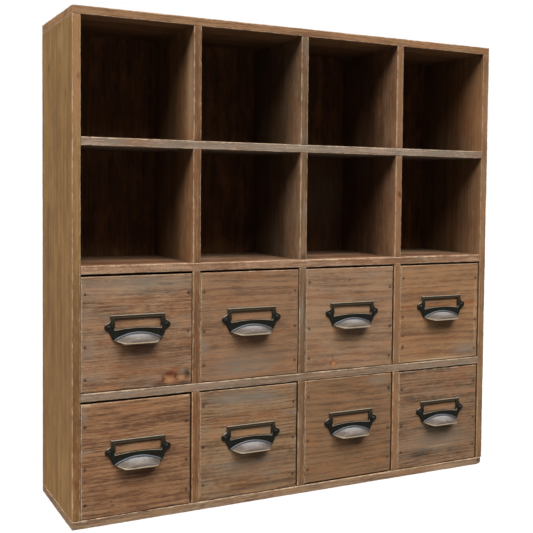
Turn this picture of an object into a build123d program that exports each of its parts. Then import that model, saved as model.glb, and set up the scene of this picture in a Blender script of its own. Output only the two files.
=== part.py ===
from build123d import *
import math
import os

# Desktop drawer organizer: a nailed and cross-lapped grid of four by four cells in old pine,
# open in the two upper rows, with a small drawer in each cell of the two lower rows. Each
# drawer has a cast cup pull with a label frame.
# Millimetres. +X is right, +Y is back, +Z is up, and the front is at -Y. The origin is the
# middle of the bottom board's underside.

# Case
CASE_WIDTH = 600.0
CASE_HEIGHT = 606.0
CASE_DEPTH = 157.0
BOARD = 10.0
COLUMNS = 4
ROWS = 4
OPEN_ROWS = 2
ARRIS = 0.6
WORN_CORNER = 3.5

# Back panel, held in grooves
PANEL_THICK = 4.0
PANEL_INSET = 6.0
GROOVE_DEPTH = 5.0
PANEL_PLAY = 0.5

# Shelf housings in the sides, stopped short of the front
HOUSING_DEPTH = 3.0
HOUSING_STOP = 12.0

# Square cut nails through the top and bottom boards
NAIL_SIZE = 2.0
NAIL_LENGTH = 28.0
NAIL_INSET = 30.0
NAIL_SUNK = 0.4

# Drawer box
GAP_LEFT = 0.5
GAP_RIGHT = 2.5
GAP_TOP = 2.0
FRONT_LIFT = 0.8
FRONT_THICK = 10.0
SIDE_THICK = 9.0
SIDE_DROP = 5.0
BACK_THICK = 9.0
BACK_DROP = 4.0
REAR_ROOM = 5.0
RUNNING_GAP = 0.1
FLOOR_THICK = 3.0
FLOOR_LIFT = 6.0
FLOOR_TONGUE = 4.0

# Square cut pins through the drawer front into the sides
PIN_SIZE = 1.6
PIN_LENGTH = 26.0
PIN_INSET = 4.6
PIN_SUNK = 0.3
HOLE_PLAY = 0.05

# Cup pull: the plate with its label window
PULL_DROP = 46.5
PULL_SHIFT = 1.0
PLATE_THICK = 2.0
PLATE_WIDTH = 67.0
TOP_RAIL = 4.2
SIDE_RAIL = 5.25
CUP_RAIL = 3.7
WINDOW_HEIGHT = 13.2
WINDOW_ARCH = 2.2
BEAD_WIDTH = 1.3
BEAD_HEIGHT = 0.7
POCKET_DEPTH = 0.8
POCKET_LAP = 2.2
EAR_RADIUS = 4.9
EAR_DROP = 13.8
EAR_COVE = 3.0
EAR_REACH = 2.1

# Cup pull: the cup. Its wall is thicker at the two tips, by TIP_WALLS times.
CUP_INSET = 5.5
CUP_RISE = 7.6
CUP_DEPTH = 16.5
CUP_WALL = 1.5
TIP_WALLS = 1.5
CUP_RINGS = 5
CUP_FACETS = 12
LIP_DROP = 2.5
COLLAR_MARGIN = 2.0
COLLAR_CROWN = 2.3
COLLAR_HEIGHT = 1.1

# Screws of the pull
SCREW_HEAD = 5.2
SCREW_HEAD_TAPER = 25.0
SCREW_HEAD_HEIGHT = 1.5
SCREW_DIAMETER = 2.2
SCREW_LENGTH = 9.0

# Heights of the three pins at the left and right edge of each drawer front, from the first
# drawer along, as shares of the front's height from its top. They were driven by eye, so no
# two drawers match.
PIN_ROWS = [
    ((0.15, 0.61, 0.89), (0.17, 0.52, 0.90)),
    ((0.18, 0.54, 0.85), (0.20, 0.54, 0.87)),
    ((0.13, 0.58, 0.87), (0.21, 0.61, 0.91)),
    ((0.13, 0.53, 0.84), (0.15, 0.60, 0.91)),
    ((0.20, 0.57, 0.88), (0.24, 0.59, 0.87)),
    ((0.13, 0.51, 0.86), (0.18, 0.52, 0.88)),
    ((0.16, 0.59, 0.87), (0.15, 0.56, 0.86)),
    ((0.18, 0.56, 0.83), (0.17, 0.56, 0.85)),
]

CELL_WIDTH = (CASE_WIDTH - (COLUMNS + 1) * BOARD) / COLUMNS
CELL_HEIGHT = (CASE_HEIGHT - (ROWS + 1) * BOARD) / ROWS
INNER_WIDTH = CASE_WIDTH - 2 * BOARD
FRONT_FACE = -CASE_DEPTH / 2
REAR_FACE = CASE_DEPTH / 2
PANEL_FRONT = REAR_FACE - PANEL_INSET - PANEL_THICK
CELL_DEPTH = PANEL_FRONT - FRONT_FACE
LAP_LINE = FRONT_FACE + CELL_DEPTH / 2
WINDOW_WIDTH = PLATE_WIDTH - 2 * SIDE_RAIL
SCREW_SPAN = PLATE_WIDTH + 2 * EAR_REACH
CUP_WIDTH = PLATE_WIDTH - 2 * CUP_INSET
COLLAR_WIDTH = CUP_WIDTH + 2 * COLLAR_MARGIN
COLLAR_RISE = CUP_RISE + COLLAR_CROWN
CUP_DROP = TOP_RAIL + WINDOW_HEIGHT + CUP_RAIL + COLLAR_RISE


def block(x0, x1, y0, y1, z0, z1):
    """A box between two corners."""
    return Pos(x0, y0, z0) * Box(x1 - x0, y1 - y0, z1 - z0, align=(Align.MIN, Align.MIN, Align.MIN))


def spike(x, y, z, direction, size, length):
    """A square nail shank that starts at a point and runs along one axis."""
    plane = Plane(origin=(x, y, z), z_dir=direction)
    return plane * Box(size, size, length, align=(Align.CENTER, Align.CENTER, Align.MIN))


def shank(x, y, z, direction, diameter, length):
    """A screw shank without its thread, drawn six-sided."""
    plane = Plane(origin=(x, y, z), z_dir=direction)
    return plane * extrude(RegularPolygon(diameter / 2, 6), length)


def cell_left(column):
    """The left wall of a column of cells."""
    return -CASE_WIDTH / 2 + BOARD + column * (CELL_WIDTH + BOARD)


def cell_floor(row):
    """The floor of a row of cells, with row 0 at the top."""
    return CASE_HEIGHT - (row + 1) * (CELL_HEIGHT + BOARD)


def divider_lefts():
    """The left face of each upright divider."""
    return [cell_left(column) - BOARD for column in range(1, COLUMNS)]


def nail_places():
    """The middle of each upright board and the two depths at which it is nailed."""
    uprights = [-CASE_WIDTH / 2] + divider_lefts() + [CASE_WIDTH / 2 - BOARD]
    depths = (FRONT_FACE + NAIL_INSET, PANEL_FRONT - NAIL_INSET)
    return [(left + BOARD / 2, depth) for left in uprights for depth in depths]


def nails(play, sunk):
    """The case nails, or with some play and nothing sunk the holes that they fill."""
    size = NAIL_SIZE + 2 * play
    pieces = []
    for x, y in nail_places():
        pieces.append(spike(x, y, CASE_HEIGHT - sunk, (0, 0, -1), size, NAIL_LENGTH - sunk))
        pieces.append(spike(x, y, sunk, (0, 0, 1), size, NAIL_LENGTH - sunk))
    return pieces


def panel_groove():
    """The space of the back panel's edges, used to cut the four grooves."""
    return block(
        -CASE_WIDTH / 2 + BOARD - GROOVE_DEPTH,
        CASE_WIDTH / 2 - BOARD + GROOVE_DEPTH,
        PANEL_FRONT,
        PANEL_FRONT + PANEL_THICK,
        BOARD - GROOVE_DEPTH,
        CASE_HEIGHT - BOARD + GROOVE_DEPTH,
    )


def long_board(z0):
    """The top or bottom board, which runs over the ends of the sides."""
    return block(-CASE_WIDTH / 2, CASE_WIDTH / 2, FRONT_FACE, REAR_FACE, z0, z0 + BOARD)


def top_board():
    """The top board, with its outer arrises eased."""
    board = long_board(CASE_HEIGHT - BOARD)
    board = chamfer(board.faces().sort_by(Axis.Z)[-1].edges(), ARRIS)
    return board - panel_groove() - nails(HOLE_PLAY, 0)


def bottom_board():
    """The bottom board, whose front right corner is worn round."""
    board = long_board(0)
    right = board.faces().sort_by(Axis.X)[-1].edges()
    upright = right.filter_by(Axis.Z).sort_by(Axis.Y)[0]
    lower = right.filter_by(Axis.Y).sort_by(Axis.Z)[0]
    board = fillet([upright, lower], WORN_CORNER)
    left = board.faces().sort_by(Axis.X)[0].edges()
    board = chamfer(left.filter_by(Axis.Y).sort_by(Axis.Z)[0], ARRIS)
    return board - panel_groove() - nails(HOLE_PLAY, 0)


def case_side(sign):
    """A side board with the panel's groove and a stopped housing for each shelf."""
    outer = sign * CASE_WIDTH / 2
    inner = outer - sign * BOARD
    x0, x1 = sorted((outer, inner))
    board = block(x0, x1, FRONT_FACE, REAR_FACE, BOARD, CASE_HEIGHT - BOARD)
    board -= panel_groove()
    for row in range(ROWS - 1):
        board -= shelf_body(row)
    board -= nails(HOLE_PLAY, 0)
    rim = board.edges().filter_by_position(Axis.X, outer, outer).filter_by(Axis.Z)
    return chamfer(rim, ARRIS)


def shelf_body(row):
    """A shelf before its slots: full width between the sides, and longer in their housings."""
    z0 = cell_floor(row) - BOARD
    half = INNER_WIDTH / 2
    body = block(-half, half, FRONT_FACE, PANEL_FRONT, z0, z0 + BOARD)
    reach = half + HOUSING_DEPTH
    return body + block(-reach, reach, FRONT_FACE + HOUSING_STOP, PANEL_FRONT, z0, z0 + BOARD)


def crossed_shelf(row):
    """A shelf with a slot from behind, halfway through, for each divider that crosses it."""
    body = shelf_body(row)
    z0 = cell_floor(row) - BOARD
    for left in divider_lefts():
        body -= block(left, left + BOARD, LAP_LINE, PANEL_FRONT, z0, z0 + BOARD)
    return body


def divider(left, first_row):
    """An upright that spans two rows, slotted from the front for the shelf it crosses."""
    low = cell_floor(first_row + 1)
    high = cell_floor(first_row) + CELL_HEIGHT
    body = block(left, left + BOARD, FRONT_FACE, PANEL_FRONT, low, high)
    crossing = cell_floor(first_row) - BOARD
    body -= block(left, left + BOARD, FRONT_FACE, LAP_LINE, crossing, crossing + BOARD)
    return body - nails(HOLE_PLAY, 0)


def dividers(first_row):
    """The three uprights of an upper or lower pair of rows."""
    return Compound(children=[divider(left, first_row) for left in divider_lefts()])


def back_panel():
    """The thin back panel, with a little play in its grooves."""
    half = INNER_WIDTH / 2 + GROOVE_DEPTH - PANEL_PLAY
    low = BOARD - GROOVE_DEPTH + PANEL_PLAY
    high = CASE_HEIGHT - low
    return block(-half, half, PANEL_FRONT, PANEL_FRONT + PANEL_THICK, low, high)


class Drawer:
    """The places of one drawer's faces, worked out from its cell."""

    def __init__(self, row, column):
        self.pin_shares = PIN_ROWS[((row - OPEN_ROWS) * COLUMNS + column) % len(PIN_ROWS)]
        self.left = cell_left(column) + GAP_LEFT
        self.right = cell_left(column) + CELL_WIDTH - GAP_RIGHT
        self.low = cell_floor(row) + FRONT_LIFT
        self.high = cell_floor(row) + CELL_HEIGHT - GAP_TOP
        self.front = FRONT_FACE
        self.box_front = FRONT_FACE + FRONT_THICK
        self.box_rear = PANEL_FRONT - REAR_ROOM
        self.side_low = cell_floor(row) + RUNNING_GAP
        self.side_high = self.high - SIDE_DROP
        self.floor_low = self.side_low + FLOOR_LIFT
        self.floor_high = self.floor_low + FLOOR_THICK
        self.pull_x = (self.left + self.right) / 2 + PULL_SHIFT
        self.pull_z = self.high - PULL_DROP

    def pin_places(self):
        """The pins' points on the front face, left edge first."""
        columns = (self.left + PIN_INSET, self.right - PIN_INSET)
        height = self.high - self.low
        edges = zip(columns, self.pin_shares)
        return [(x, self.high - share * height) for x, shares in edges for share in shares]

    def pins(self, play, sunk):
        """The pins, or with some play and nothing sunk the holes that they fill."""
        size = PIN_SIZE + 2 * play
        length = PIN_LENGTH - sunk
        return [spike(x, self.front + sunk, z, (0, 1, 0), size, length) for x, z in self.pin_places()]

    def screw_places(self):
        """The two screws' points, at the ears of the pull."""
        z = self.pull_z - EAR_DROP
        return [(self.pull_x + sign * SCREW_SPAN / 2, z) for sign in (-1, 1)]

    def screw_holes(self):
        """The holes for the pull's screws in the front."""
        diameter = SCREW_DIAMETER + 2 * HOLE_PLAY
        depth = SCREW_LENGTH - PLATE_THICK
        return [shank(x, self.front, z, (0, 1, 0), diameter, depth) for x, z in self.screw_places()]


def drawer_floor(place):
    """The thin drawer bottom, tongued into the sides and the front."""
    return block(
        place.left + SIDE_THICK - FLOOR_TONGUE,
        place.right - SIDE_THICK + FLOOR_TONGUE,
        place.box_front - FLOOR_TONGUE,
        place.box_rear,
        place.floor_low,
        place.floor_high,
    )


def drawer_front(place):
    """The front board, drilled for its pins and for the pull's screws."""
    board = block(place.left, place.right, place.front, place.box_front, place.low, place.high)
    rim = board.faces().sort_by(Axis.Y)[0].edges()
    board = chamfer(rim, ARRIS)
    return board - drawer_floor(place) - place.pins(HOLE_PLAY, 0) - place.screw_holes()


def drawer_sides(place):
    """The two drawer sides, which slide on the shelf below."""
    pieces = []
    for x0 in (place.left, place.right - SIDE_THICK):
        x1 = x0 + SIDE_THICK
        side = block(x0, x1, place.box_front, place.box_rear, place.side_low, place.side_high)
        pieces.append(side - drawer_floor(place) - place.pins(HOLE_PLAY, 0))
    return Compound(children=pieces)


def drawer_back(place):
    """The drawer back, between the sides and on the drawer bottom."""
    return block(
        place.left + SIDE_THICK,
        place.right - SIDE_THICK,
        place.box_rear - BACK_THICK,
        place.box_rear,
        place.floor_high,
        place.side_high - BACK_DROP,
    )


def arc_top(width, rise, x):
    """Height at x of a round arch of the given width and rise, above its springing line."""
    radius = (width * width / 4 + rise * rise) / (2 * rise)
    return math.sqrt(radius * radius - x * x) - (radius - rise)


def arch_face(width, rise):
    """The flat face under a round arch that springs from the cup's mouth line."""
    arch = ThreePointArc((-width / 2, -CUP_DROP), (0, rise - CUP_DROP), (width / 2, -CUP_DROP))
    base = Line((width / 2, -CUP_DROP), (-width / 2, -CUP_DROP))
    return Plane.XZ * make_face([arch, base])


def window_face():
    """The label window, whose lower edge is arched over the cup."""
    half = WINDOW_WIDTH / 2
    low = -TOP_RAIL - WINDOW_HEIGHT
    corner = low - WINDOW_ARCH
    sides = Polyline((half, corner), (half, -TOP_RAIL), (-half, -TOP_RAIL), (-half, corner))
    sill = ThreePointArc((-half, corner), (0, low), (half, corner))
    return Plane.XZ * make_face([sides, sill])


def plate_face():
    """The plate's outline: a label frame, an ear at each side and a skirt down to the cup."""
    half = PLATE_WIDTH / 2
    mouth = COLLAR_WIDTH / 2
    ear = SCREW_SPAN / 2
    chin = EAR_DROP + EAR_RADIUS
    right = [(half, 0), (half, -EAR_DROP), (ear, -EAR_DROP), (ear, -chin), (mouth, -CUP_DROP)]
    left = [(-x, y) for x, y in reversed(right)]
    outline = make_face(Polyline(*right, *left, close=True))
    for sign in (-1, 1):
        outline += Pos(sign * ear, -EAR_DROP) * Circle(EAR_RADIUS)
    shoulders = outline.vertices().group_by(Axis.Y)[-2]
    return Plane.XZ * fillet(shoulders, EAR_COVE)


def facet(points):
    """A flat face through a loop of points, some of which may fall together."""
    loop = [point for point, after in zip(points, points[1:] + points[:1]) if point != after]
    return make_face(Polyline(*loop, close=True))


def cup_level(share, thinner):
    """A level line round the cup: its mouth's outline, shrunk towards the middle of the plate.

    The mouth's depth falls off from the middle to the tips with the fourth power of the
    distance, which gives a nearly straight lip with two soft corners. The height follows
    the round arch on the plate, so all levels are alike and the facets between them are
    flat."""
    half = CUP_WIDTH / 2 - TIP_WALLS * thinner
    depth = CUP_DEPTH - thinner
    height = arc_top(2 * half, CUP_RISE - thinner, share * half) - CUP_DROP
    line = []
    for i in range(CUP_FACETS + 1):
        x = math.sin(math.pi * (i / CUP_FACETS - 0.5))
        y = 0.0 if i in (0, CUP_FACETS) else x**4 - 1
        line.append((share * half * x, share * depth * y, height))
    return line


def cup_body(thinner, below):
    """The cup's bulk, a faceted quarter dome over a skirt that deepens towards the lip.

    With a wall's thickness taken off, and carried on below the mouth, it is the hollow."""
    rings = [cup_level(1 - i / CUP_RINGS, thinner) for i in range(CUP_RINGS + 1)]
    lip = [(x, y, LIP_DROP * y / CUP_DEPTH - CUP_DROP - below) for x, y, z in rings[0]]
    levels = [lip] + rings
    faces = [facet(lip), facet([line[0] for line in levels] + [line[-1] for line in reversed(levels)])]
    for low, high in zip(levels, levels[1:]):
        for i in range(CUP_FACETS):
            faces.append(facet([low[i], low[i + 1], high[i + 1], high[i]]))
    return Solid(Shell(faces))


def cup_pull():
    """The cast pull, with the top middle of its back face at the origin."""
    window = window_face()
    front = PLATE_THICK + BEAD_HEIGHT
    pull = extrude(plate_face(), PLATE_THICK)
    pull += extrude(offset(window, BEAD_WIDTH, kind=Kind.INTERSECTION), front)
    pull += extrude(arch_face(COLLAR_WIDTH, COLLAR_RISE), PLATE_THICK + COLLAR_HEIGHT)
    pull += cup_body(0, 0)
    pull -= extrude(window, front)
    pull -= cup_body(CUP_WALL, LIP_DROP)
    half = WINDOW_WIDTH / 2 + POCKET_LAP
    low = -TOP_RAIL - WINDOW_HEIGHT - POCKET_LAP
    pull -= block(-half, half, -POCKET_DEPTH, 0, low, 0)
    for sign in (-1, 1):
        x = sign * SCREW_SPAN / 2
        pull -= shank(x, 0, -EAR_DROP, (0, -1, 0), SCREW_DIAMETER + 2 * HOLE_PLAY, PLATE_THICK)
    return pull


def pull_screw(x, y, z):
    """A screw whose tapered head seats on the plate."""
    plane = Plane(origin=(x, y, z), z_dir=(0, -1, 0))
    head = plane * extrude(RegularPolygon(SCREW_HEAD / 2, 12), SCREW_HEAD_HEIGHT, taper=SCREW_HEAD_TAPER)
    return head + shank(x, y, z, (0, 1, 0), SCREW_DIAMETER, SCREW_LENGTH)


def drawer_fasteners(place):
    """The drawer's six pins and the two screws of its pull."""
    pieces = place.pins(0, PIN_SUNK)
    for x, z in place.screw_places():
        pieces.append(pull_screw(x, place.front - PLATE_THICK, z))
    return Compound(children=pieces)


def write(name, shape):
    """Writes one sub-part."""
    export_step(shape, os.path.join("parts", name + ".step"))


def main():
    os.makedirs("parts", exist_ok=True)
    write("top_board", top_board())
    write("bottom_board", bottom_board())
    write("left_side", case_side(-1))
    write("right_side", case_side(1))
    write("back_panel", back_panel())
    write("upper_shelf", crossed_shelf(0))
    write("middle_shelf", shelf_body(1))
    write("lower_shelf", crossed_shelf(2))
    write("upper_dividers", dividers(0))
    write("lower_dividers", dividers(2))
    write("case_nails", Compound(children=nails(0, NAIL_SUNK)))
    pull = cup_pull()
    for row in range(OPEN_ROWS, ROWS):
        for column in range(COLUMNS):
            place = Drawer(row, column)
            name = "drawer_r{}c{}_".format(row + 1, column + 1)
            write(name + "front", drawer_front(place))
            write(name + "sides", drawer_sides(place))
            write(name + "back", drawer_back(place))
            write(name + "floor", drawer_floor(place))
            write(name + "pull", Pos(place.pull_x, place.front, place.pull_z) * pull)
            write(name + "fasteners", drawer_fasteners(place))


main()
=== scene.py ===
import bmesh
import bpy
import numpy as np
from mathutils import Matrix, Vector


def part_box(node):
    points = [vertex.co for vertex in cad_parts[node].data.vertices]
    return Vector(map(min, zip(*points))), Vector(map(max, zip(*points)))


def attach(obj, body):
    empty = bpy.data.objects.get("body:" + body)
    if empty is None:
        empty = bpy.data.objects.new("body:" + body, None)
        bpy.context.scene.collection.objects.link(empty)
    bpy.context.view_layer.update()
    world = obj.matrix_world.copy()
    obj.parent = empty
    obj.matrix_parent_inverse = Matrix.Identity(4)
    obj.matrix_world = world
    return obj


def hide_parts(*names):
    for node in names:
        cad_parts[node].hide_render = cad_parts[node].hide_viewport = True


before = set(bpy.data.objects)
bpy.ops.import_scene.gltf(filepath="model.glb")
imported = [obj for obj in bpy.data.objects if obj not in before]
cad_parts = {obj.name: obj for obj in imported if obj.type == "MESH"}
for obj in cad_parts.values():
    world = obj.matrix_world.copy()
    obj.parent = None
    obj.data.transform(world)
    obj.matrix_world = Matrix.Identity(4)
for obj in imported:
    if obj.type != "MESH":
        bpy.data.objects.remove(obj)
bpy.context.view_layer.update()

# Outer boards: reclaimed softwood about ten millimetres thick, sawn, stained brown and rubbed
# pale along the arrises. The top and bottom run over the ends of the two sides and are nailed
# down into them. The bottom board has been dropped on its front right corner and is worn round.
MM = 0.001
FRONT = -78.5
REAR = 78.5
CASE_HALF = 300.0
CASE_TOP = 606.0
BOARD = 10.0
ARRIS = 0.7
WORN_CORNER = 3.5
# The top and bottom boards lie back by this much on the outside, so that the nail heads show.
NAIL_PROUD = 0.05
# Half the size of a stain in a direction in which it has no end.
FAR = 900.0
COLOUR_MIX = {"out": 2, "data_type": "RGBA"}
SMOOTH = {"interpolation_type": "SMOOTHSTEP"}


def linear(code):
    """A colour from its sRGB hex code: each channel c is c / 12.92 when small, and otherwise
    ((c + 0.055) / 1.055) to the power 2.4."""
    channels = np.array([int(code[i:i + 2], 16) for i in (1, 3, 5)]) / 255
    low = channels / 12.92
    high = ((channels + 0.055) / 1.055) ** 2.4
    return (*np.where(channels > 0.04045, high, low).tolist(), 1.0)


def add(tree, kind, inputs, out=0, **settings):
    """Adds one node, sets its properties and links or sets each of its inputs."""
    made = tree.nodes.new("ShaderNode" + kind)
    for key, value in settings.items():
        setattr(made, key, value)
    for key, value in inputs.items():
        if isinstance(value, bpy.types.NodeSocket):
            tree.links.new(value, made.inputs[key])
        else:
            made.inputs[key].default_value = value
    return made.outputs[out] if len(made.outputs) else made


def blank(name):
    """A new material and its node tree, which is empty."""
    material = bpy.data.materials.new(name)
    material.use_nodes = True
    material.node_tree.nodes.clear()
    return material, material.node_tree


def old_pine(name, grain, tones, pith, seed, grey=0.3, sawn=0.0, slant=0.0, inside=0.0, warm=0.5,
             rubbed=0.72, pitch=2.2, rings=(3.4, 0.45), marks=()):
    """Reclaimed pine, sawn, washed with brown stain and rubbed.

    The eye gets fine streaks along the grain, thin late-wood lines where the face cuts the
    year rings, warm and grey patches a few centimetres wide, short dark checks, faint saw
    marks across the grain and pale worn arrises. It is dull, a little less so where it is
    smooth. grain lists the axes along the grain, across it and through the board. The year
    rings are circles about the pith, at distance r = sqrt((across - a)^2 + (through - b)^2),
    and each ring darkens slowly towards its outer side and then stops short. rings holds their
    gap and depth of tone. pitch is the gap of the saw marks and slant their lean, inside is how
    much painted shade darkens the wood deep in the cells, rubbed is how pale its arrises are, and
    each mark, a stain or a patch of painted light, is its kind, its middle, its half sizes and its
    strength."""
    material, tree = blank(name)
    place = add(tree, "TexCoord", {}, out=3)
    place = add(tree, "VectorMath", {0: place, 3: 1 / MM}, operation="SCALE")
    apart = add(tree, "SeparateXYZ", {0: place}).node.outputs
    point = add(tree, "CombineXYZ", {i: apart["XYZ".index(axis)] for i, axis in enumerate(grain)})
    moved = np.random.default_rng(seed).uniform(-500, 500, 3)
    solid = add(tree, "VectorMath", {0: point, 1: moved.tolist()}, operation="ADD")
    # Each pattern: its cell along, across and through the grain in millimetres, detail, roughness.
    patterns = {
        "bend": ((320.0, 110.0, 110.0), 1.0, 0.5),
        "broad": ((240.0, 9.0, 20.0), 3.0, 0.55),
        "streak": ((75.0, 2.4, 5.0), 4.0, 0.62),
        "short": ((26.0, 1.5, 3.0), 3.0, 0.6),
        "fibre": ((8.0, 0.8, 1.2), 3.0, 0.6),
        "patch": ((42.0, 22.0, 30.0), 5.0, 0.62),
        "warm": ((50.0, 16.0, 24.0), 4.0, 0.6),
        "grey": ((48.0, 14.0, 19.0), 6.0, 0.68),
        "check": ((11.0, 0.9, 1.2), 2.0, 0.5),
        "rub": ((9.0, 4.0, 4.0), 4.0, 0.7),
    }
    field = {}
    for key, (cell, detail, rough) in patterns.items():
        shares = [1 / size for size in cell]
        spot = add(tree, "VectorMath", {0: solid, 1: shares}, operation="MULTIPLY")
        settings = {"Vector": spot, "Scale": 1.0, "Detail": detail, "Roughness": rough}
        field[key] = add(tree, "TexNoise", settings)
    # Year rings at an even gap, bent up and down along the board by several millimetres.
    ring_gap, ring_depth = rings
    sides = add(tree, "SeparateXYZ", {0: point}).node.outputs
    bent = add(tree, "Math", {0: field["bend"], 1: 34.0, 2: sides[1]}, operation="MULTIPLY_ADD")
    reach = add(tree, "CombineXYZ", {1: bent, 2: sides[2]})
    radius = add(tree, "VectorMath", {0: reach, 1: (0.0, *pith)}, out=1, operation="DISTANCE")
    turns = add(tree, "Math", {0: radius, 1: ring_gap}, operation="DIVIDE")
    turns = add(tree, "Math", {0: field["patch"], 1: 0.6, 2: turns}, operation="MULTIPLY_ADD")
    phase = add(tree, "Math", {0: turns}, operation="FRACT")
    late = add(tree, "MapRange", {0: phase, 1: 0.35, 2: 0.86}, **SMOOTH)
    stop = add(tree, "MapRange", {0: phase, 1: 1.0, 2: 0.88}, **SMOOTH)
    for limit in (stop, field["broad"]):
        late = add(tree, "Math", {0: late, 1: limit}, operation="MULTIPLY")
    # The tone, from dark to light, is the weighted sum of the fields about their middle.
    weights = {"streak": 1.25, "short": 1.4, "fibre": 2.0, "patch": 1.5, "broad": 1.9}
    level = 0.52 + 0.18 * ring_depth - sum(weights.values()) / 2
    tone = add(tree, "Math", {0: late, 1: -ring_depth, 2: level}, operation="MULTIPLY_ADD")
    for key, weight in weights.items():
        tone = add(tree, "Math", {0: field[key], 1: weight, 2: tone}, operation="MULTIPLY_ADD")
    lower = add(tree, "MapRange", {0: tone, 1: 0.1, 2: 0.5})
    upper = add(tree, "MapRange", {0: tone, 1: 0.5, 2: 0.9})
    warmth = add(tree, "MapRange", {0: field["warm"], 1: 0.5, 2: 0.72, 4: warm})
    washed = {0: field["grey"], 1: 0.62 - 0.25 * grey, 2: 0.84 - 0.25 * grey, 4: 0.2 + grey}
    weather = add(tree, "MapRange", washed)
    colour, middle, light = [linear(code) for code in tones]
    washes = [(lower, middle), (upper, light)]
    washes += [(warmth, linear("#8f5f3c")), (weather, linear("#776b5c"))]
    for cover, tint in washes:
        colour = add(tree, "Mix", {0: cover, 6: colour, 7: tint}, **COLOUR_MIX)
    # Knots, stain marks and patches of painted light: each an ellipse about its centre, with its
    # edge broken up by the grain.
    stains_and_painted_light = {
        "grey": "#7d7263",
        "umber": "#5a361e",
        "ember": "#7f4a24",
        "pale": "#b39a7b",
        "tan": "#a0744e",
        "soot": "#2b231c",
        "knot": "#4c1c0b",
    }
    frayed = add(tree, "VectorMath", {0: solid, 1: (0.05, 0.16, 0.16)}, operation="MULTIPLY")
    settings = {"Vector": frayed, "Scale": 1.0, "Detail": 5.0, "Roughness": 0.75}
    frayed = add(tree, "TexNoise", settings, out=1)
    frayed = add(tree, "VectorMath", {0: frayed, 1: (0.5, 0.5, 0.5)}, operation="SUBTRACT")
    swing = [dict(zip(grain, (14.0, 5.0, 5.0)))[axis] for axis in "XYZ"]
    frayed = add(tree, "VectorMath", {0: frayed, 1: swing, 2: place}, operation="MULTIPLY_ADD")
    grained = add(tree, "MapRange", {0: tone, 1: 1.0, 2: 0.0, 3: 0.5, 4: 1.2})
    for kind in dict.fromkeys(mark[0] for mark in marks):
        cover = 0.0
        for centre, radii, strength in [mark[1:] for mark in marks if mark[0] == kind]:
            settings = {"Vector": frayed, "Location": centre, "Scale": radii}
            local = add(tree, "Mapping", settings, vector_type="TEXTURE")
            gap = add(tree, "VectorMath", {0: local}, out=1, operation="LENGTH")
            one = add(tree, "MapRange", {0: gap, 1: 1.2, 2: 0.2, 4: strength}, **SMOOTH)
            cover = add(tree, "Math", {0: one, 1: cover}, operation="MAXIMUM")
        cover = add(tree, "Math", {0: cover, 1: grained}, operation="MULTIPLY", use_clamp=True)
        colour = add(tree, "Mix", {0: cover, 6: colour, 7: linear(stains_and_painted_light[kind])}, **COLOUR_MIX)
    checks = add(tree, "MapRange", {0: field["check"], 1: 0.7, 2: 0.77, 4: 0.5}, **SMOOTH)
    colour = add(tree, "Mix", {0: checks, 6: colour, 7: linear("#33271c")}, **COLOUR_MIX)
    # Saw marks at an even gap, at a slant across the grain, strong in some patches only.
    slide = add(tree, "Math", {0: sides[1], 1: slant, 2: sides[0]}, operation="MULTIPLY_ADD")
    slide = add(tree, "Math", {0: field["patch"], 1: 9.0, 2: slide}, operation="MULTIPLY_ADD")
    waves = add(tree, "Math", {0: slide, 1: 2 * np.pi / pitch}, operation="MULTIPLY")
    waves = add(tree, "Math", {0: waves}, operation="SINE")
    strong = add(tree, "MapRange", {0: field["broad"], 1: 0.45, 2: 0.65, 4: 0.03 + 0.3 * sawn})
    saw = add(tree, "Math", {0: waves, 1: strong}, operation="MULTIPLY")
    # Iron has stained the wood black round each pin.
    iron = add(tree, "Attribute", {}, out=2, attribute_name="iron")
    shades = [(saw, 0.5), (iron, -0.75)]
    # Painted shade: the colour is darkened towards the back inside the cells, where their own
    # shade falls, but not in the boards' outer skin nor behind the back panel.
    if inside:
        depth = add(tree, "MapRange", {0: apart[1], 1: FRONT + 12, 2: FRONT + 110, 4: inside}, **SMOOTH)
        beside = add(tree, "Math", {0: apart[0]}, operation="ABSOLUTE")
        skin = 4.0
        behind = REAR - 6.5
        limits = [(beside, CASE_HALF - skin, "LESS_THAN"), (apart[2], CASE_TOP - skin, "LESS_THAN")]
        limits += [(apart[2], skin, "GREATER_THAN"), (apart[1], behind, "LESS_THAN")]
        for reach, limit, side in limits:
            within = add(tree, "Math", {0: reach, 1: limit}, operation=side)
            depth = add(tree, "Math", {0: depth, 1: within}, operation="MULTIPLY")
        shades.append((depth, -1.0))
    shade = 1.0
    for layer, share in shades:
        shade = add(tree, "Math", {0: layer, 1: share, 2: shade}, operation="MULTIPLY_ADD")
    colour = add(tree, "VectorMath", {0: colour, 3: shade}, operation="SCALE")
    arris = add(tree, "Attribute", {}, out=2, attribute_name="arris")
    worn = add(tree, "Math", {0: field["rub"], 1: 2.6, 2: -1.5}, operation="MULTIPLY_ADD")
    worn = add(tree, "Math", {0: worn, 1: arris}, operation="ADD")
    worn = add(tree, "MapRange", {0: worn, 1: 0.35, 2: 1.15, 4: rubbed}, **SMOOTH)
    colour = add(tree, "Mix", {0: worn, 6: colour, 7: linear("#b89f83")}, **COLOUR_MIX)
    # Relief: raised late wood, fibres, sunk checks and saw marks, about a quarter millimetre.
    height = add(tree, "Math", {0: field["fibre"], 1: 0.9, 2: saw}, operation="MULTIPLY_ADD")
    for layer, rise in ((late, 0.4), (checks, -0.6)):
        height = add(tree, "Math", {0: layer, 1: rise, 2: height}, operation="MULTIPLY_ADD")
    relief = add(tree, "Bump", {"Height": height, "Distance": 0.25 * MM, "Strength": 1.0})
    gloss = add(tree, "MapRange", {0: field["fibre"], 1: 0.3, 2: 0.7, 3: 0.55, 4: 0.8})
    settings = {"Base Color": colour, "Roughness": gloss, "Normal": relief}
    surface = add(tree, "BsdfPrincipled", {**settings, "IOR": 1.5, "Specular IOR Level": 0.3})
    add(tree, "OutputMaterial", {"Surface": surface})
    return material


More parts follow.
